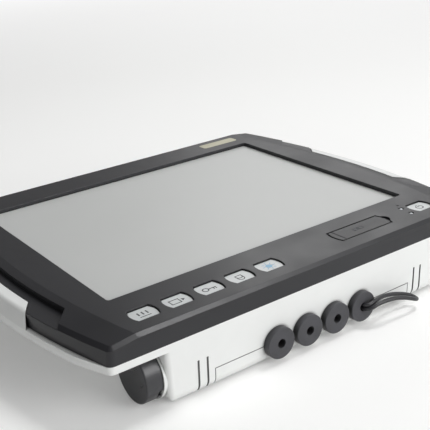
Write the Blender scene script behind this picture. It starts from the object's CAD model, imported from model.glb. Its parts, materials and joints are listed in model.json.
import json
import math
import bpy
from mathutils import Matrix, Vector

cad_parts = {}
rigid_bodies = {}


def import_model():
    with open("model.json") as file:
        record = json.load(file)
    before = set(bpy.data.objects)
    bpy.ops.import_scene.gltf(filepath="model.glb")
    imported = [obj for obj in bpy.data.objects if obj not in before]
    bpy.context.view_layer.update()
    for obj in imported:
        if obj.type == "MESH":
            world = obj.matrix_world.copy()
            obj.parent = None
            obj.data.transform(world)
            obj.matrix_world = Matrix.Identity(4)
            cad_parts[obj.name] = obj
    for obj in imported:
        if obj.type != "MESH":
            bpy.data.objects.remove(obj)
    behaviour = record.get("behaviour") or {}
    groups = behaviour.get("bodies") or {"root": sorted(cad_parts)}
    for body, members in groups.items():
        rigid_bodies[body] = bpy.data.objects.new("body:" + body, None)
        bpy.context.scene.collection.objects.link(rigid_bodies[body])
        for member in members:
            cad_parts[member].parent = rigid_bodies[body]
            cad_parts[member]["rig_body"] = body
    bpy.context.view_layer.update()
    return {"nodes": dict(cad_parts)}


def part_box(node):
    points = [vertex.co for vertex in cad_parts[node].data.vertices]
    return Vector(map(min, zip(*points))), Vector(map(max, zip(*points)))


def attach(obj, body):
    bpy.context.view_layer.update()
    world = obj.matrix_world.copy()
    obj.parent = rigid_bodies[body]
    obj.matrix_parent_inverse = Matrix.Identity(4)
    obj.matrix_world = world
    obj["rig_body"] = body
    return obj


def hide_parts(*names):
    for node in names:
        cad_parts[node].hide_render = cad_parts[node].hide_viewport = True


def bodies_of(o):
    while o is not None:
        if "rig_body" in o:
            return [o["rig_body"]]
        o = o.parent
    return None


bl_info = {
    "name": "Vehicle touchscreen terminal",
    "version": (1, 0, 0),
    "blender": (4, 5, 0),
    "location": "View3D > Sidebar > Terminal",
    "description": "Dresses the packed terminal with finishes, signs, lead, socket cover, screws and stage",
    "category": "Object",
}

import bmesh
import bpy
from mathutils import Matrix, Vector

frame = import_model()
NODES = frame["nodes"]
MM = 0.001
ROOT = "terminal"
KEYS = ["key_1", "key_2", "key_3", "key_4", "key_5", "power_key"]
GLANDS = ["cable_gland_1", "cable_gland_2", "cable_gland_3", "cable_gland_4"]

# Route of the looped lead: out of the last gland, round to the right and back in, in millimetres
LEAD_ROUTE = [(43.5, -125.75, 15.05), (43.5, -161.75, 15.05), (44.2, -171.15, 15.6), (54.0, -173.35, 19.4),
              (70.0, -174.95, 19.2), (84.0, -176.35, 15.0), (97.0, -176.15, 8.6), (99.9, -170.95, 7.6),
              (96.6, -165.95, 9.8), (80.0, -165.15, 15.8), (66.0, -165.95, 18.8), (54.5, -169.15, 20.2),
              (44.4, -169.95, 19.0), (43.5, -161.75, 18.75), (43.5, -125.75, 18.75)]

# Grooves in the housing's walls (place and half width across) and the cable cover's seam
GROOVES = ((108.5 * MM, 0.9 * MM), (116.5 * MM, 0.9 * MM))
GROOVE_TOP = 29.4 * MM
SEAM_HALF_WIDTH = 0.4 * MM
LOWER_WALL_Y = -150.0 * MM  # only the wall with the glands lies beyond it

# Blank plate: half the size of its face, and the face's middle from that of the recess
BADGE_HALF = (22.5 * MM, 6.2 * MM)
BADGE_SHIFT = (7.0 * MM, 1.0 * MM)
BADGE_CORNER = 2.6 * MM
BADGE_FACE = 0.2 * MM
BADGE_SLOPE = 0.15 * MM
RECESS_CORNER = 1.0 * MM

# Socket cover: bulge of its free end, thickness at the rim and crown above the CAD solid
FLAP_BULGE = 2.0 * MM
FLAP_THICKNESS = 2.2 * MM
FLAP_CROWN = 0.5 * MM
# Steps of its section: draw-in beyond the lip, draw-in at the hinge, and depth below the top
FLAP_STEPS = ((0.0, 0.0, 1.1 * MM), (0.1 * MM, 0.1 * MM, 0.5 * MM), (0.15 * MM, 0.7 * MM, 0.3 * MM),
              (0.4 * MM, 1.3 * MM, 0.0))
FIXED_END_SHARE = 0.1  # of the hinge's draw-in, on the end that stays fixed
FLAP_RIB = (17.8 * MM, 4.8 * MM)  # half the outside of the rib under the cover
FLAP_RIB_WALL = 1.8 * MM
FLAP_FOOT = 0.9 * MM  # half the side of a foot under the fixed end
FLAP_FOOT_Y = 5.0 * MM
FLAP_MARK_PLACES = (-4.6, 1.0)  # middles of its two boxes, in millimetres
FLAP_MARK_HALF = (2.3, 1.6)
FLAP_MARK_LINE = 1.0 * MM
OVERLAP = 0.1 * MM  # how far ribs and feet run into the plate above them
SUNK = 0.02 * MM  # how far a printed sign starts below its surface

# Key signs are drawn in steps of this length
SIGN = 1.5 * MM

# Camera fitted to the photograph: its place, its axes and its focal length in pixels
CAMERA_PLACE = (-0.40518, -0.60406, 0.35196)
CAMERA_RIGHT = (0.80448, -0.591367, -0.055659)
CAMERA_UP = (0.262422, 0.269793, 0.92647)
CAMERA_BACK = (-0.532867, -0.759933, 0.37223)
FOCAL_PIXELS = 858.32
PHOTO_WIDTH = 430.0
SENSOR_WIDTH = 36.0

# Lamps: place, target, size and power in watts
SOFTBOXES = {
    "softbox_high": ((0.66, -0.12, 1.75), (0.0, 0.0, 0.05), (0.5, 0.5), 12.0),
    "softbox_front": ((0.8, -1.9, 1.0), (0.0, 0.0, 0.05), (1.4, 1.0), 22.5),
    "softbox_left": ((-1.9, -0.5, 0.5), (0.0, 0.0, 0.03), (0.8, 0.6), 1.8),
    "softbox_far": ((1.33, 1.30, 1.05), (0.0, 0.0, 0.05), (0.9, 0.7), 4.2),
}

# Floor: half its side, its depth under the object, its glow and where it starts and ends fading to white
FLOOR_HALF = 6.0
FLOOR_DEPTH = 0.2 * MM
FLOOR_GLOW = 0.16
FLOOR_FADE = (0.9, 2.4)
CONTACT_LENGTH = 2.0 * MM  # shorter rays pass through, so what lies on the floor isn't black underneath

# Surround: strength low down and overhead, between two heights, and its fall towards the far left
SKY_HEIGHTS = (0.28, 0.62)
SKY_STRENGTHS = (0.66, 0.42)
SIDE_STRENGTHS = (0.16, 1.30)
SIDE_REACH = 1.1

# Screws: head radius, head height and shank radius, in millimetres
SCREW_KINDS = {"housing_screws": (3.6, 2.4, 1.95), "cable_cover_screws": (2.7, 1.6, 1.45)}
RECESS_SHARE = 0.5  # of the head's radius


# Sizes and colours that a user would change

def colour(name, default, words):
    return bpy.props.FloatVectorProperty(name=name, description=words, default=default, subtype="COLOR",
                                         min=0.0, max=1.0)


def length(name, default, words):
    return bpy.props.FloatProperty(name=name, description=words, default=default, unit="LENGTH",
                                   min=0.0, precision=5)


class TerminalFinishes(bpy.types.PropertyGroup):
    """Colours of the terminal's materials."""
    frame: colour("Frame", (0.0195, 0.0195, 0.0225), "Grained black plastic of the front frame")
    housing: colour("Housing", (0.80, 0.81, 0.80), "Pale plastic of the rear housing")
    keys: colour("Keys", (0.60, 0.62, 0.62), "Moulded key caps")
    screen: colour("Screen", (0.545, 0.555, 0.545), "Unlit picture under the matt screen")
    rubber: colour("Rubber", (0.040, 0.040, 0.046), "Cable glands")
    flap: colour("Socket cover", (0.062, 0.062, 0.064), "Rubber cover of the front sockets")
    cap: colour("Side cap", (0.044, 0.044, 0.048), "Round cap on the left side")
    lead: colour("Lead", (0.022, 0.022, 0.025), "Jacket of the looped lead")
    badge: colour("Badge", (0.45, 0.43, 0.33), "Blank badge plate")
    legend: colour("Legend", (0.045, 0.048, 0.055), "Printed signs on the keys")
    blue_legend: colour("Blue legend", (0.27, 0.48, 0.66), "Printed sign on the fifth key")


class TerminalSizes(bpy.types.PropertyGroup):
    """Sizes of the pieces that the scene adds."""
    lead_diameter: length("Lead diameter", 3.6 * MM, "Outside diameter of the looped lead")
    lead_length: length("Lead length", 0.206, "Length of the looped lead along its middle")
    legend_height: length("Legend height", 0.05 * MM, "How far a printed sign stands above its key")
    legend_line: length("Legend line", 0.75 * MM, "Width of a printed line")
    flap_lip: length("Cover lip", 0.9 * MM, "Width of the stepped lip round the socket cover")


# Node helpers

def fresh_material(name):
    """A material with only a shader and its output."""
    material = bpy.data.materials.new(name)
    material.use_nodes = True
    tree = material.node_tree
    tree.nodes.clear()
    output = tree.nodes.new("ShaderNodeOutputMaterial")
    shader = tree.nodes.new("ShaderNodeBsdfPrincipled")
    tree.links.new(shader.outputs["BSDF"], output.inputs["Surface"])
    return material, tree, shader


def object_noise(tree, scale, detail, stretch=(1, 1, 1)):
    """Noise on Object coordinates, stretched along an axis where a finish has a direction."""
    coordinates = tree.nodes.new("ShaderNodeTexCoord")
    mapping = tree.nodes.new("ShaderNodeMapping")
    mapping.inputs["Scale"].default_value = stretch
    noise = tree.nodes.new("ShaderNodeTexNoise")
    noise.inputs["Scale"].default_value = scale
    noise.inputs["Detail"].default_value = detail
    noise.inputs["Roughness"].default_value = 0.55
    tree.links.new(coordinates.outputs["Object"], mapping.inputs["Vector"])
    tree.links.new(mapping.outputs["Vector"], noise.inputs["Vector"])
    return noise


def spread(tree, source, low, high, start=0.35, end=0.65):
    """Maps a range of a value, by default the middle of a noise's, to two values."""
    ranged = tree.nodes.new("ShaderNodeMapRange")
    ranged.inputs["From Min"].default_value = start
    ranged.inputs["From Max"].default_value = end
    ranged.inputs["To Min"].default_value = low
    ranged.inputs["To Max"].default_value = high
    tree.links.new(source, ranged.inputs["Value"])
    return ranged.outputs["Result"]


def two_tone(tree, factor, first, second):
    """First colour where the factor is 0, and second where it is 1."""
    mix = tree.nodes.new("ShaderNodeMix")
    mix.data_type = "RGBA"
    mix.inputs["A"].default_value = (*first, 1)
    mix.inputs["B"].default_value = (*second, 1)
    tree.links.new(factor, mix.inputs["Factor"])
    return mix.outputs["Result"]


def scaled(rgb, factor):
    """A darker or lighter colour."""
    return tuple(min(1.0, c * factor) for c in rgb)


def add_bump(tree, shader, height, strength, distance, edge=0.0):
    """Bump from a height, over edges that look softened by a small radius."""
    bump = tree.nodes.new("ShaderNodeBump")
    bump.inputs["Strength"].default_value = strength
    bump.inputs["Distance"].default_value = distance
    tree.links.new(height, bump.inputs["Height"])
    if edge:
        bevel = tree.nodes.new("ShaderNodeBevel")
        bevel.samples = 6
        bevel.inputs["Radius"].default_value = edge
        tree.links.new(bevel.outputs["Normal"], bump.inputs["Normal"])
    tree.links.new(bump.outputs["Normal"], shader.inputs["Normal"])


def add_gloss(tree, shader, noise, rough, change):
    """Roughness that follows a noise a little way to both sides."""
    value = spread(tree, noise.outputs["Fac"], rough - change, rough + change)
    tree.links.new(value, shader.inputs["Roughness"])


def arithmetic(tree, operation, *values):
    """One sum on sockets or plain numbers."""
    node = tree.nodes.new("ShaderNodeMath")
    node.operation = operation
    for i, value in enumerate(values):
        if isinstance(value, (int, float)):
            node.inputs[i].default_value = value
        else:
            tree.links.new(value, node.inputs[i])
    return node.outputs[0]


def shaded(tree, tone, factor, dark):
    """Darkens a tone where the factor is high, as dust and shade do in a joint."""
    mix = tree.nodes.new("ShaderNodeMix")
    mix.data_type = "RGBA"
    mix.inputs["B"].default_value = (*dark, 1)
    tree.links.new(tone, mix.inputs["A"])
    tree.links.new(factor, mix.inputs["Factor"])
    return mix.outputs["Result"]


def crevice(tree, distance, start, end):
    """High where other surfaces stand close, as in the gap round a key."""
    near = tree.nodes.new("ShaderNodeAmbientOcclusion")
    near.samples = 8
    near.inputs["Distance"].default_value = distance
    return spread(tree, near.outputs["AO"], 1.0, 0.0, start, end)


def housing_lines(tree):
    """High in the grooves of the walls and along the cable cover's parting line."""
    coordinates = tree.nodes.new("ShaderNodeTexCoord")
    split = tree.nodes.new("ShaderNodeSeparateXYZ")
    tree.links.new(coordinates.outputs["Object"], split.inputs["Vector"])
    x, y, z = (split.outputs[axis] for axis in "XYZ")
    side = arithmetic(tree, "ABSOLUTE", x)
    _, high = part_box("cable_cover")

    def line(value, place, half, *limits):
        """A line at a place, only where each value is under its limit."""
        found = arithmetic(tree, "COMPARE", value, place, half)
        for limited, limit in limits:
            found = arithmetic(tree, "MULTIPLY", found, arithmetic(tree, "LESS_THAN", limited, limit))
        return found

    lines = [line(side, place, half, (z, GROOVE_TOP)) for place, half in GROOVES]
    lines.append(line(side, high.x, SEAM_HALF_WIDTH, (z, high.z + SEAM_HALF_WIDTH), (y, high.y)))
    lines.append(line(z, high.z, SEAM_HALF_WIDTH, (side, high.x), (y, LOWER_WALL_Y)))
    together = lines[0]
    for found in lines[1:]:
        together = arithmetic(tree, "MAXIMUM", together, found)
    return together


def moulded(name, rgb, rough, grain=2600.0, depth=0.03, edge=0.4 * MM, tint=0.12, gap=2.0 * MM,
            lined=False):
    """Moulded plastic: spark-eroded grain, faint mottling, uneven gloss and shade in its joints."""
    material, tree, shader = fresh_material(name)
    broad = object_noise(tree, 14.0, 5.0)
    fine = object_noise(tree, grain, 2.0)
    shader.inputs["IOR"].default_value = 1.48
    mottling = spread(tree, broad.outputs["Fac"], 0.0, 1.0)
    tone = two_tone(tree, mottling, scaled(rgb, 1 - tint), scaled(rgb, 1 + tint))
    if gap:
        tone = shaded(tree, tone, crevice(tree, gap, 0.35, 0.85), scaled(rgb, 0.2))
    if lined:
        tone = shaded(tree, tone, housing_lines(tree), scaled(rgb, 0.24))
    tree.links.new(tone, shader.inputs["Base Color"])
    add_gloss(tree, shader, broad, rough, 0.06)
    add_bump(tree, shader, fine.outputs["Fac"], 0.5, depth * MM, edge)
    return material


def rubbery(name, rgb, rough=0.62, gap=8.0 * MM, start=0.4, end=0.85):
    """Moulded rubber with a bloom, fine dust and deep shade in its holes and steps."""
    material, tree, shader = fresh_material(name)
    bloom = object_noise(tree, 60.0, 6.0)
    fine = object_noise(tree, 1500.0, 3.0)
    dusty = spread(tree, bloom.outputs["Fac"], 0.0, 1.0)
    tone = two_tone(tree, dusty, scaled(rgb, 0.85), scaled(rgb, 1.35))
    tone = shaded(tree, tone, crevice(tree, gap, start, end), scaled(rgb, 0.1))
    tree.links.new(tone, shader.inputs["Base Color"])
    add_gloss(tree, shader, bloom, rough, 0.08)
    shader.inputs["Sheen Weight"].default_value = 0.15
    shader.inputs["Sheen Roughness"].default_value = 0.5
    add_bump(tree, shader, fine.outputs["Fac"], 0.4, 0.04 * MM, 0.3 * MM)
    return material


def metal(name, rgb, rough, brush=(1, 1, 1)):
    """Sheet or turned metal, brushed along an axis where it is stretched."""
    material, tree, shader = fresh_material(name)
    lines = object_noise(tree, 900.0, 3.0, stretch=brush)
    shader.inputs["Metallic"].default_value = 1.0
    tone = two_tone(tree, lines.outputs["Fac"], scaled(rgb, 0.85), scaled(rgb, 1.1))
    tree.links.new(tone, shader.inputs["Base Color"])
    add_gloss(tree, shader, lines, rough, 0.07)
    add_bump(tree, shader, lines.outputs["Fac"], 0.25, 0.01 * MM)
    return material


def board_mask(name, rgb):
    """Circuit board: solder mask over a grid of fine tracks."""
    material, tree, shader = fresh_material(name)
    coordinates = tree.nodes.new("ShaderNodeTexCoord")
    tracks = tree.nodes.new("ShaderNodeTexBrick")
    tracks.inputs["Scale"].default_value = 160.0
    tracks.inputs["Color1"].default_value = (*rgb, 1)
    tracks.inputs["Color2"].default_value = (*scaled(rgb, 1.5), 1)
    tracks.inputs["Mortar"].default_value = (*scaled(rgb, 2.2), 1)
    tracks.inputs["Mortar Size"].default_value = 0.03
    tree.links.new(coordinates.outputs["Object"], tracks.inputs["Vector"])
    tree.links.new(tracks.outputs["Color"], shader.inputs["Base Color"])
    shader.inputs["Roughness"].default_value = 0.35
    return material


def paint(node_name, material):
    """Gives a CAD node's object its finish."""
    node = NODES[node_name]
    if not node.data.materials:
        node.data.materials.append(material)
    for i in range(len(node.data.materials)):
        node.data.materials[i] = material


# Mesh helpers

def piece(name, bm, body, material):
    """A finished piece at the origin, riding on a body."""
    bmesh.ops.remove_doubles(bm, verts=bm.verts, dist=1e-6)
    bmesh.ops.recalc_face_normals(bm, faces=bm.faces)
    mesh = bpy.data.meshes.new(name)
    bm.to_mesh(mesh)
    bm.free()
    mesh.materials.append(material)
    made = bpy.data.objects.new(name, mesh)
    bpy.context.scene.collection.objects.link(made)
    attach(made, body)
    return made


def prism(bm, outline, low, high):
    """A closed plate between two heights over a flat outline, given in metres."""
    bottom = [bm.verts.new((x, y, low)) for x, y in outline]
    top = [bm.verts.new((x, y, high)) for x, y in outline]
    bm.faces.new(list(reversed(bottom)))
    bm.faces.new(top)
    for i in range(len(outline)):
        j = (i + 1) % len(outline)
        bm.faces.new((bottom[i], bottom[j], top[j], top[i]))


def stroke(bm, a, b, width, low, high):
    """One straight printed line with square ends."""
    start, end = Vector(a), Vector(b)
    along = (end - start).normalized() * width / 2
    side = Vector((-along.y, along.x))
    start, end = start - along, end + along
    prism(bm, [start - side, end - side, end + side, start + side], low, high)


def bulged_outline(low_x, high_x, half_y, centre_y, inset, cut, left, right, steps=10):
    """Corners of a strip whose ends bulge; an end with no bulge is a straight cut with its own draw-in."""
    x0 = low_x + (left + inset if left else cut)
    x1 = high_x - (right + inset if right else cut)
    half = half_y - inset
    points = []
    for x, bulge, way in ((x1, right, 1), (x0, -left, -1)):
        for i in range(steps + 1):
            t = way * (2.0 * i / steps - 1.0)
            points.append((x + bulge * (1 - t * t), centre_y + half * t))
    return points


def stacked(bm, outlines):
    """A closed body through outlines at rising heights, all with the same number of points."""
    loops = [[bm.verts.new((x, y, z)) for x, y in outline] for outline, z in outlines]
    bm.faces.new(list(reversed(loops[0])))
    bm.faces.new(loops[-1])
    for lower, upper in zip(loops, loops[1:]):
        for i in range(len(lower)):
            j = (i + 1) % len(lower)
            bm.faces.new((lower[i], lower[j], upper[j], upper[i]))


def hollow_frame(bm, outer, inner, low, high):
    """A closed wall between two outlines with the same number of points."""
    loops = [[bm.verts.new((x, y, z)) for x, y in line] for line, z in
             ((outer, low), (outer, high), (inner, high), (inner, low))]
    for first, second in zip(loops, loops[1:] + loops[:1]):
        for i in range(len(first)):
            j = (i + 1) % len(first)
            bm.faces.new((first[i], first[j], second[j], second[i]))


def rectangle(half_w, half_h, centre):
    """Corners of a rectangle."""
    x, y = centre
    return [(x + sx * half_w, y + sy * half_h) for sx, sy in ((-1, -1), (1, -1), (1, 1), (-1, 1))]


def rounded(half_w, half_h, radius, centre, steps=6):
    """Outline of a rectangle with rounded corners."""
    points = []
    for quarter, (sx, sy) in enumerate(((1, 1), (-1, 1), (-1, -1), (1, -1))):
        x, y = centre[0] + sx * (half_w - radius), centre[1] + sy * (half_h - radius)
        for i in range(steps + 1):
            a = math.radians(90 * (quarter + i / steps))
            points.append((x + radius * math.cos(a), y + radius * math.sin(a)))
    return points


def ring(bm, centre, radius, width, low, high, start=0.0, sweep=360.0, steps=40):
    """A printed ring or arc."""
    full = sweep >= 360.0
    count = steps if full else steps + 1
    loops = []
    for r in (radius - width / 2, radius + width / 2):
        points = []
        for i in range(count):
            a = math.radians(start + sweep * i / steps)
            points.append((centre[0] + r * math.cos(a), centre[1] + r * math.sin(a)))
        loops.append([[bm.verts.new((x, y, z)) for x, y in points] for z in (low, high)])
    (in_low, in_high), (out_low, out_high) = loops
    last = count if full else count - 1
    for i in range(last):
        j = (i + 1) % count
        bm.faces.new((in_high[i], out_high[i], out_high[j], in_high[j]))
        bm.faces.new((in_low[j], out_low[j], out_low[i], in_low[i]))
        bm.faces.new((out_low[i], out_low[j], out_high[j], out_high[i]))
        bm.faces.new((in_low[j], in_low[i], in_high[i], in_high[j]))
    if not full:
        for i in (0, count - 1):
            bm.faces.new((in_low[i], out_low[i], out_high[i], in_high[i]))


class Pen:
    """Draws a sign's lines between two heights, in steps of one length from a middle."""

    def __init__(self, bm, middle, step, width, low, high):
        self.bm, self.middle, self.step, self.width, self.heights = bm, middle, step, width, (low, high)

    def at(self, x, y):
        return self.middle[0] + x * self.step, self.middle[1] + y * self.step

    def line(self, start, end, weight=1.0):
        stroke(self.bm, self.at(*start), self.at(*end), self.width * weight, *self.heights)

    def box(self, centre, half_w, half_h):
        corners = rectangle(half_w, half_h, centre)
        for start, end in zip(corners, corners[1:] + corners[:1]):
            self.line(start, end)

    def arc(self, centre, radius, width, start=0.0, sweep=360.0):
        ring(self.bm, self.at(*centre), radius * self.step, width, *self.heights, start, sweep)

    def solid(self, corners):
        prism(self.bm, [self.at(*corner) for corner in corners], *self.heights)


# Pieces

class TERMINAL_OT_stage(bpy.types.Operator):
    """Camera at the photograph's angle, plain floor, soft lamps and a white surround"""
    bl_idname = "terminal.stage"
    bl_label = "Stage"

    def execute(self, context):
        scene = context.scene
        scene.view_settings.view_transform = "Standard"
        add_camera(scene)
        add_floor()
        add_surround(scene)
        for name, values in SOFTBOXES.items():
            add_softbox(name, *values)
        return {"FINISHED"}


def add_camera(scene):
    """Camera from where the photograph was taken."""
    camera = bpy.data.objects.new("camera", bpy.data.cameras.new("camera"))
    scene.collection.objects.link(camera)
    turn = Matrix((CAMERA_RIGHT, CAMERA_UP, CAMERA_BACK)).transposed().to_4x4()
    camera.matrix_world = Matrix.Translation(CAMERA_PLACE) @ turn
    camera.data.sensor_width = SENSOR_WIDTH
    camera.data.lens = SENSOR_WIDTH * FOCAL_PIXELS / PHOTO_WIDTH
    camera.data.clip_start = 0.01
    scene.camera = camera


def join_shaders(tree, factor, first, second):
    """First shader where the factor is 0, and second where it is 1."""
    mix = tree.nodes.new("ShaderNodeMixShader")
    tree.links.new(factor, mix.inputs["Fac"])
    tree.links.new(first, mix.inputs[1])
    tree.links.new(second, mix.inputs[2])
    return mix.outputs["Shader"]


def add_floor():
    """White floor: it glows a little for the camera, fades to white far off and isn't seen from below."""
    bm = bmesh.new()
    bm.faces.new([bm.verts.new((x, y, -FLOOR_DEPTH)) for x, y in rectangle(FLOOR_HALF, FLOOR_HALF, (0, 0))])
    mesh = bpy.data.meshes.new("floor")
    bm.to_mesh(mesh)
    bm.free()
    material, tree, shader = fresh_material("floor_white")
    shader.inputs["Base Color"].default_value = (0.86, 0.86, 0.85, 1)
    shader.inputs["Roughness"].default_value = 0.9
    shader.inputs["Specular IOR Level"].default_value = 0.1
    path = tree.nodes.new("ShaderNodeLightPath")
    to_camera = path.outputs["Is Camera Ray"]
    glow = tree.nodes.new("ShaderNodeEmission")
    glow.inputs["Strength"].default_value = FLOOR_GLOW
    lit = tree.nodes.new("ShaderNodeAddShader")
    tree.links.new(shader.outputs["BSDF"], lit.inputs[0])
    tree.links.new(glow.outputs["Emission"], lit.inputs[1])
    near = join_shaders(tree, to_camera, shader.outputs["BSDF"], lit.outputs["Shader"])
    coordinates = tree.nodes.new("ShaderNodeTexCoord")
    away = tree.nodes.new("ShaderNodeVectorMath")
    away.operation = "LENGTH"
    tree.links.new(coordinates.outputs["Object"], away.inputs[0])
    far_off = spread(tree, away.outputs["Value"], 0.0, 1.0, *FLOOR_FADE)
    faded = arithmetic(tree, "MULTIPLY", far_off, to_camera)
    white = tree.nodes.new("ShaderNodeEmission")
    seen = join_shaders(tree, faded, near, white.outputs["Emission"])
    sides = tree.nodes.new("ShaderNodeNewGeometry")
    clear = tree.nodes.new("ShaderNodeBsdfTransparent")
    short = arithmetic(tree, "LESS_THAN", path.outputs["Ray Length"], CONTACT_LENGTH)
    touching = arithmetic(tree, "MULTIPLY", short, arithmetic(tree, "SUBTRACT", 1.0, to_camera))
    unseen = arithmetic(tree, "MAXIMUM", sides.outputs["Backfacing"], touching)
    output = next(n for n in tree.nodes if n.type == "OUTPUT_MATERIAL")
    tree.links.new(join_shaders(tree, unseen, seen, clear.outputs["BSDF"]), output.inputs["Surface"])
    mesh.materials.append(material)
    floor = bpy.data.objects.new("floor", mesh)
    bpy.context.scene.collection.objects.link(floor)


def add_surround(scene):
    """A sky that is white low down and greyer overhead and to the far left; the camera sees it white."""
    world = bpy.data.worlds.new("surround")
    scene.world = world
    world.use_nodes = True
    tree = world.node_tree
    tree.nodes.clear()
    output = tree.nodes.new("ShaderNodeOutputWorld")
    path = tree.nodes.new("ShaderNodeLightPath")
    coordinates = tree.nodes.new("ShaderNodeTexCoord")
    split = tree.nodes.new("ShaderNodeSeparateXYZ")
    tree.links.new(coordinates.outputs["Generated"], split.inputs["Vector"])
    fade = tree.nodes.new("ShaderNodeMapRange")
    fade.interpolation_type = "SMOOTHSTEP"
    for bound, height, level in zip(("Min", "Max"), SKY_HEIGHTS, SKY_STRENGTHS):
        fade.inputs[f"From {bound}"].default_value = height
        fade.inputs[f"To {bound}"].default_value = level
    tree.links.new(split.outputs["Z"], fade.inputs["Value"])
    across = arithmetic(tree, "SUBTRACT", split.outputs["X"], split.outputs["Y"])
    sideways = spread(tree, across, *SIDE_STRENGTHS, -SIDE_REACH, SIDE_REACH)
    lighting, seen = tree.nodes.new("ShaderNodeBackground"), tree.nodes.new("ShaderNodeBackground")
    for background in (lighting, seen):
        background.inputs["Color"].default_value = (1, 1, 1, 1)
    strength = arithmetic(tree, "MULTIPLY", fade.outputs["Result"], sideways)
    tree.links.new(strength, lighting.inputs["Strength"])
    mixed = join_shaders(tree, path.outputs["Is Camera Ray"], lighting.outputs["Background"],
                         seen.outputs["Background"])
    tree.links.new(mixed, output.inputs["Surface"])


def add_softbox(name, place, target, size, power):
    """Rectangular soft lamp that faces its target."""
    lamp = bpy.data.lights.new(name, "AREA")
    lamp.shape = "RECTANGLE"
    lamp.size, lamp.size_y = size
    lamp.energy = power
    made = bpy.data.objects.new(name, lamp)
    bpy.context.scene.collection.objects.link(made)
    aim = Vector(target) - Vector(place)
    made.matrix_world = Matrix.Translation(place) @ aim.to_track_quat("-Z", "Y").to_matrix().to_4x4()


class TERMINAL_OT_lead(bpy.types.Operator):
    """Looped lead out of the last gland and back into it"""
    bl_idname = "terminal.lead"
    bl_label = "Looped lead"

    def execute(self, context):
        sizes, finish = context.scene.terminal_sizes, context.scene.terminal_finishes
        curve = bpy.data.curves.new("looped_lead", "CURVE")
        curve.dimensions = "3D"
        curve.resolution_u = 12
        curve.bevel_depth = sizes.lead_diameter / 2
        curve.bevel_resolution = 6
        curve.use_fill_caps = True
        spline = curve.splines.new("NURBS")
        spline.points.add(len(LEAD_ROUTE) - 1)
        for point, (x, y, z) in zip(spline.points, LEAD_ROUTE):
            point.co = (x * MM, y * MM, z * MM, 1.0)
        spline.order_u = 3
        spline.use_endpoint_u = True
        jacket = moulded("lead_jacket", tuple(finish.lead), 0.3, grain=800.0, depth=0.02, edge=0.0)
        curve.materials.append(jacket)
        lead = bpy.data.objects.new("looped_lead", curve)
        context.scene.collection.objects.link(lead)
        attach(lead, ROOT)
        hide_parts("power_lead")
        return {"FINISHED"}


class TERMINAL_OT_finishes(bpy.types.Operator):
    """Finishes of the pieces that keep their CAD shape"""
    bl_idname = "terminal.finishes"
    bl_label = "Finishes"

    def execute(self, context):
        finish = context.scene.terminal_finishes
        paint("front_frame", moulded("frame_grain", tuple(finish.frame), 0.38, depth=0.035, edge=0.7 * MM,
                                     gap=4.0 * MM))
        housing = moulded("housing_grain", tuple(finish.housing), 0.45, grain=2200.0, edge=0.6 * MM,
                          tint=0.02, gap=3.0 * MM, lined=True)
        for name in ("rear_housing", "cable_cover"):
            paint(name, housing)
        keys = moulded("key_plastic", tuple(finish.keys), 0.32, grain=900.0, depth=0.01, edge=0.3 * MM,
                       tint=0.03)
        for name in KEYS:
            paint(name, keys)
        paint("access_cap", moulded("cap_plastic", tuple(finish.cap), 0.30, edge=0.8 * MM))
        rubber = rubbery("moulded_rubber", tuple(finish.rubber))
        for name in GLANDS:
            paint(name, rubber)
        add_badge(metal("badge_metal", tuple(finish.badge), 0.38, brush=(0.05, 1, 1)))
        paint("touch_glass", matt_screen("screen_matt", tuple(finish.screen)))
        return {"FINISHED"}


def add_badge(material):
    """Blank plate: a thin face lies on the frame, and the boss under it fills the frame's recess."""
    low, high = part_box("badge_plate")
    recess = ((low.x + high.x) / 2, (low.y + high.y) / 2)
    boss = rounded((high.x - low.x) / 2, (high.y - low.y) / 2, RECESS_CORNER, recess)
    middle = (recess[0] + BADGE_SHIFT[0], recess[1] + BADGE_SHIFT[1])
    half_w, half_h = BADGE_HALF
    face = rounded(half_w, half_h, BADGE_CORNER, middle)
    top = rounded(half_w - BADGE_SLOPE, half_h - BADGE_SLOPE, BADGE_CORNER - BADGE_SLOPE, middle)
    bm = bmesh.new()
    stacked(bm, [(boss, low.z), (boss, high.z - BADGE_FACE), (face, high.z - BADGE_FACE), (top, high.z)])
    made = piece("badge_blank", bm, body_of("badge_plate"), material)
    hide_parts("badge_plate")


def matt_screen(name, rgb):
    """Etched touch surface over the unlit picture: nearly even grey with a soft, faintly smudged gloss."""
    material, tree, shader = fresh_material(name)
    smudge = object_noise(tree, 9.0, 3.0)
    etch = object_noise(tree, 5200.0, 1.0)
    smudged = spread(tree, smudge.outputs["Fac"], 0.0, 1.0)
    tone = two_tone(tree, smudged, scaled(rgb, 0.985), scaled(rgb, 1.015))
    tree.links.new(tone, shader.inputs["Base Color"])
    add_gloss(tree, shader, smudge, 0.43, 0.03)
    shader.inputs["IOR"].default_value = 1.5
    add_bump(tree, shader, etch.outputs["Fac"], 0.3, 0.01 * MM)
    return material


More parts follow.
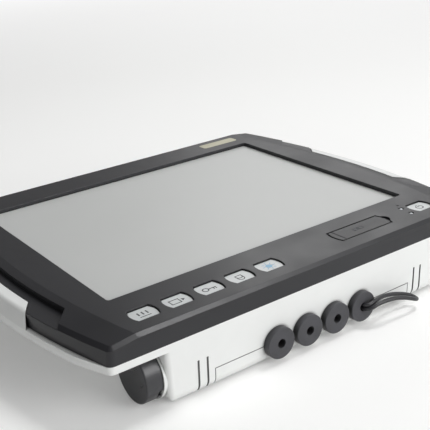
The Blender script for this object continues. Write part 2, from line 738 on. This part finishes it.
class TERMINAL_OT_flap(bpy.types.Operator):
    """Rubber cover of the front sockets: stepped lip, crowned middle and a printed mark"""
    bl_idname = "terminal.flap"
    bl_label = "Socket cover"

    def execute(self, context):
        finish, sizes = context.scene.terminal_finishes, context.scene.terminal_sizes
        rubber = rubbery("flap_rubber", tuple(finish.flap), gap=2.0 * MM, start=0.6, end=0.97)
        low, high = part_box("usb_flap")
        anchor_low, anchor_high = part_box("usb_flap_anchor")
        centre_y, half_y = (low.y + high.y) / 2, (high.y - low.y) / 2
        middle = ((anchor_low.x + high.x) / 2, centre_y)
        top, under = high.z + FLAP_CROWN, high.z - FLAP_THICKNESS
        parts = (("socket_flap", "usb_flap", (low.x, high.x), (0.0, FLAP_BULGE), 1.0),
                 ("socket_flap_end", "usb_flap_anchor", (anchor_low.x, anchor_high.x), (FLAP_BULGE, 0.0),
                  FIXED_END_SHARE))
        for name, node, ends, bulges, share in parts:
            rim = bulged_outline(*ends, half_y, centre_y, 0.0, 0.0, *bulges)
            section = [(rim, under), (rim, top - FLAP_STEPS[0][2])]
            for inset, cut, depth in FLAP_STEPS:
                step = bulged_outline(*ends, half_y, centre_y, sizes.flap_lip + inset, cut * share, *bulges)
                section.append((step, top - depth))
            bm = bmesh.new()
            stacked(bm, section)
            if node == "usb_flap":
                outer = rectangle(*FLAP_RIB, middle)
                inner = rectangle(*(half - FLAP_RIB_WALL for half in FLAP_RIB), middle)
                hollow_frame(bm, outer, inner, low.z, under + OVERLAP)
            else:
                x = (sum(ends) + FLAP_BULGE) / 2
                for y in (centre_y - FLAP_FOOT_Y, centre_y + FLAP_FOOT_Y):
                    prism(bm, rectangle(FLAP_FOOT, FLAP_FOOT, (x, y)), anchor_low.z, under + OVERLAP)
            made = piece(name, bm, body_of(node), rubber)
            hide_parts(node)
        bm = bmesh.new()
        pen = Pen(bm, middle, MM, FLAP_MARK_LINE, top - SUNK, top + sizes.legend_height)
        for x in FLAP_MARK_PLACES:
            pen.box((x, 0.0), *FLAP_MARK_HALF)
        ink = moulded("flap_mark_ink", tuple(finish.legend), 0.5, edge=0.0, gap=0.0)
        mark = piece("socket_flap_mark", bm, body_of("usb_flap"), ink)
        return {"FINISHED"}


def body_of(node):
    """The body that a CAD node rides on."""
    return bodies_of(NODES[node])[0]


# Screws

def solid_boxes(node_name):
    """Low and high corners of each separate solid in a CAD node, in a fixed order."""
    bm = bmesh.new()
    bm.from_mesh(NODES[node_name].data)
    bmesh.ops.remove_doubles(bm, verts=bm.verts, dist=1e-6)
    waiting = set(bm.verts)
    boxes = []
    while waiting:
        walk, found = [waiting.pop()], []
        while walk:
            vert = walk.pop()
            found.append(vert.co.copy())
            for edge in vert.link_edges:
                other = edge.other_vert(vert)
                if other in waiting:
                    waiting.remove(other)
                    walk.append(other)
        low = Vector([min(co[i] for co in found) for i in range(3)])
        high = Vector([max(co[i] for co in found) for i in range(3)])
        boxes.append((low, high))
    bm.free()
    return sorted(boxes, key=lambda box: (round(box[0].x, 5), round(box[0].y, 5)))


def link_all(tree, *pairs):
    """Links each output to its input."""
    for source, target in pairs:
        tree.links.new(source, target)


def screw_tree(material):
    """Node tree that stands a socket-head screw, head down, on each point of a mesh."""
    tree = bpy.data.node_groups.new("screw_set", "GeometryNodeTree")
    tree.is_modifier = True
    tree.interface.new_socket("Geometry", in_out="INPUT", socket_type="NodeSocketGeometry")
    for name in ("Head radius", "Head height", "Shank radius", "Length", "Recess radius"):
        tree.interface.new_socket(name, in_out="INPUT", socket_type="NodeSocketFloat").subtype = "DISTANCE"
    tree.interface.new_socket("Geometry", in_out="OUTPUT", socket_type="NodeSocketGeometry")
    sizes, output = tree.nodes.new("NodeGroupInput"), tree.nodes.new("NodeGroupOutput")

    def cylinder(radius, depth, middle, sides):
        shape = tree.nodes.new("GeometryNodeMeshCylinder")
        shape.inputs["Vertices"].default_value = sides
        place = tree.nodes.new("ShaderNodeCombineXYZ")
        moved = tree.nodes.new("GeometryNodeTransform")
        link_all(tree, (radius, shape.inputs["Radius"]), (depth, shape.inputs["Depth"]),
                 (middle, place.inputs["Z"]), (place.outputs["Vector"], moved.inputs["Translation"]),
                 (shape.outputs["Mesh"], moved.inputs["Geometry"]))
        return moved.outputs["Geometry"]

    # The recess is as deep as the head is high, and stands so that a little over half of it is in the head
    head_h, long = sizes.outputs["Head height"], sizes.outputs["Length"]
    head = cylinder(sizes.outputs["Head radius"], head_h, arithmetic(tree, "MULTIPLY", head_h, 0.5), 32)
    recess = cylinder(sizes.outputs["Recess radius"], head_h, arithmetic(tree, "MULTIPLY", head_h, 0.05), 6)
    middle = arithmetic(tree, "ADD", arithmetic(tree, "MULTIPLY", long, 0.5), head_h)
    shank = cylinder(sizes.outputs["Shank radius"], long, middle, 20)
    cut = tree.nodes.new("GeometryNodeMeshBoolean")
    cut.operation = "DIFFERENCE"
    joined = tree.nodes.new("GeometryNodeJoinGeometry")
    stand = tree.nodes.new("GeometryNodeInstanceOnPoints")
    solid = tree.nodes.new("GeometryNodeRealizeInstances")
    dress = tree.nodes.new("GeometryNodeSetMaterial")
    dress.inputs["Material"].default_value = material
    link_all(tree, (head, cut.inputs["Mesh 1"]), (recess, cut.inputs["Mesh 2"]),
             (cut.outputs["Mesh"], joined.inputs["Geometry"]), (shank, joined.inputs["Geometry"]),
             (sizes.outputs["Geometry"], stand.inputs["Points"]),
             (joined.outputs["Geometry"], stand.inputs["Instance"]),
             (stand.outputs["Instances"], solid.inputs["Geometry"]),
             (solid.outputs["Geometry"], dress.inputs["Geometry"]),
             (dress.outputs["Geometry"], output.inputs["Geometry"]))
    return tree


def set_of_screws(node, tree, values, material):
    """One node's screws as a plain mesh, made by the tree on the places of its solids."""
    boxes = solid_boxes(node)
    points = bpy.data.meshes.new(f"{node}_places")
    points.from_pydata([((low.x + high.x) / 2, (low.y + high.y) / 2, low.z) for low, high in boxes], [], [])
    holder = bpy.data.objects.new(f"{node}_places", points)
    bpy.context.scene.collection.objects.link(holder)
    modifier = holder.modifiers.new("screws", "NODES")
    modifier.node_group = tree
    for item in tree.interface.items_tree:
        if item.name in values:
            modifier[item.identifier] = values[item.name]
    shape = bpy.data.meshes.new_from_object(holder.evaluated_get(bpy.context.evaluated_depsgraph_get()))
    bpy.data.objects.remove(holder)
    bpy.data.meshes.remove(points)
    made = bpy.data.objects.new(f"{node}_made", shape)
    shape.materials.clear()
    shape.materials.append(material)
    bpy.context.scene.collection.objects.link(made)
    return made


class TERMINAL_OT_screws(bpy.types.Operator):
    """Socket-head screws of the housing and the cable cover"""
    bl_idname = "terminal.screws"
    bl_label = "Screws"

    def execute(self, context):
        zinc = metal("screw_zinc", (0.45, 0.46, 0.47), 0.3)
        tree = screw_tree(zinc)
        for node, (head, height, shank) in SCREW_KINDS.items():
            low, high = solid_boxes(node)[0]
            values = {"Head radius": head * MM, "Head height": height * MM, "Shank radius": shank * MM,
                      "Length": high.z - low.z - height * MM, "Recess radius": head * RECESS_SHARE * MM}
            made = set_of_screws(node, tree, values, zinc)
            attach(made, ROOT)
            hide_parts(node)
        return {"FINISHED"}


class TERMINAL_OT_inside(bpy.types.Operator):
    """Finishes of the pieces inside the housing"""
    bl_idname = "terminal.inside"
    bl_label = "Inside pieces"

    def execute(self, context):
        steel = metal("zinc_sheet", (0.55, 0.56, 0.57), 0.34)
        alloy = metal("cast_alloy", (0.62, 0.62, 0.63), 0.5)
        board = board_mask("solder_mask", (0.02, 0.12, 0.06))
        black = moulded("package_black", (0.02, 0.02, 0.022), 0.4)
        foam = rubbery("closed_foam", (0.02, 0.02, 0.02), 0.85)
        pale = moulded("pale_film", (0.75, 0.75, 0.73), 0.3)
        green = moulded("terminal_green", (0.05, 0.30, 0.12), 0.4)
        pad = rubbery("soft_pad", (0.35, 0.37, 0.42), 0.8)
        lens = moulded("clear_lens", (0.62, 0.66, 0.68), 0.12, edge=0.0)
        groups = {
            steel: ("lcd_case", "lcd_bracket", "lcd_bracket_screws", "key_board_screws", "housing_screws",
                    "cable_cover_screws", "main_board_screws", "front_usb_sockets", "lan_socket",
                    "serial_socket", "service_usb_socket", "card_cage", "coin_cell", "drive_tray"),
            alloy: ("heat_block", "storage_drive"),
            board: ("key_board", "main_board", "card_board", "power_board", "wlan_antennas",
                    "memory_module", "wlan_card"),
            black: ("key_switches", "processor", "power_board_parts", "light_sensor"),
            foam: ("screen_gasket", "housing_seal", "cap_seal"),
            pale: ("backlight", "screen_cable", "key_mat", "lcd_cell"),
            green: ("power_terminal",),
            pad: ("thermal_pad",),
            lens: ("status_lenses",),
        }
        for material, names in groups.items():
            for name in names:
                paint(name, material)
        return {"FINISHED"}


class TERMINAL_OT_legends(bpy.types.Operator):
    """Printed signs on the six keys"""
    bl_idname = "terminal.legends"
    bl_label = "Key legends"

    def execute(self, context):
        finish, sizes = context.scene.terminal_finishes, context.scene.terminal_sizes
        dark = moulded("legend_ink", tuple(finish.legend), 0.5, edge=0.0)
        blue = moulded("legend_blue", tuple(finish.blue_legend), 0.5, edge=0.0)
        drawings = [draw_pad, draw_screen, draw_lock_key, draw_store, draw_light, draw_power]
        for key, drawing in zip(KEYS, drawings):
            low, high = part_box(key)
            middle = ((low.x + high.x) / 2, (low.y + high.y) / 2)
            bm = bmesh.new()
            drawing(Pen(bm, middle, SIGN, sizes.legend_line, high.z - SUNK, high.z + sizes.legend_height))
            sign = piece(f"{key}_legend", bm, key, blue if drawing is draw_light else dark)
        return {"FINISHED"}


def draw_pad(pen):
    """Keypad: three short columns over a bar."""
    for x in (-2.4, 0.0, 2.4):
        pen.line((x, -0.2), (x, 2.0), 1.5)
    pen.line((-2.8, -2.2), (2.8, -2.2))


def draw_screen(pen):
    """Screen outline with a pointer beside it."""
    pen.box((-1.2, 0.0), 2.6, 2.0)
    pen.solid([(4.4, 0.0), (2.7, 1.3), (2.7, -1.3)])


def draw_lock_key(pen):
    """Key: bow, shaft and two wards."""
    pen.arc((-2.2, 0.0), 1.6, pen.width * 1.2)
    pen.line((-0.4, 0.0), (3.6, 0.0), 1.3)
    for x in (2.2, 3.5):
        pen.line((x, 0.0), (x, -1.3), 1.2)


def draw_store(pen):
    """Store: a drum with a flat top and a line round its middle."""
    for y in (0.9, -1.1):
        pen.arc((0.0, y), 1.8, pen.width, 180.0, 180.0)
    for x in (-1.8, 1.8):
        pen.line((x, -1.1), (x, 2.0))
    pen.line((-1.8, 2.0), (1.8, 2.0))


def draw_light(pen):
    """Lamp: a filled disc with short rays."""
    pen.arc((0.0, 0.0), 0.95, 1.88 * pen.step)
    for i in range(8):
        a = math.radians(45 * i)
        pen.line((2.6 * math.cos(a), 2.6 * math.sin(a)), (3.6 * math.cos(a), 3.6 * math.sin(a)))


def draw_power(pen):
    """Open ring with a bar through its gap."""
    pen.arc((0.0, 0.0), 2.2, pen.width * 1.2, 120.0, 300.0)
    pen.line((0.0, 0.5), (0.0, 2.8), 1.2)


class TERMINAL_PT_panel(bpy.types.Panel):
    """Lists the terminal's pieces and settings"""
    bl_idname = "TERMINAL_PT_panel"
    bl_label = "Terminal"
    bl_space_type = "VIEW_3D"
    bl_region_type = "UI"
    bl_category = "Terminal"

    def draw(self, context):
        for kind in OPERATORS:
            self.layout.operator(kind.bl_idname)
        for group in (context.scene.terminal_finishes, context.scene.terminal_sizes):
            for name in group.__annotations__:
                self.layout.prop(group, name)


OPERATORS = [TERMINAL_OT_stage, TERMINAL_OT_lead, TERMINAL_OT_finishes, TERMINAL_OT_flap,
             TERMINAL_OT_screws, TERMINAL_OT_inside, TERMINAL_OT_legends]
CLASSES = [TerminalFinishes, TerminalSizes, *OPERATORS, TERMINAL_PT_panel]


def register():
    for kind in CLASSES:
        bpy.utils.register_class(kind)
    bpy.types.Scene.terminal_finishes = bpy.props.PointerProperty(type=TerminalFinishes)
    bpy.types.Scene.terminal_sizes = bpy.props.PointerProperty(type=TerminalSizes)


def unregister():
    del bpy.types.Scene.terminal_sizes
    del bpy.types.Scene.terminal_finishes
    for kind in reversed(CLASSES):
        bpy.utils.unregister_class(kind)


def main():
    register()
    for kind in OPERATORS:
        group, name = kind.bl_idname.split(".")
        getattr(getattr(bpy.ops, group), name)()


if __name__ == "__main__":
    main()
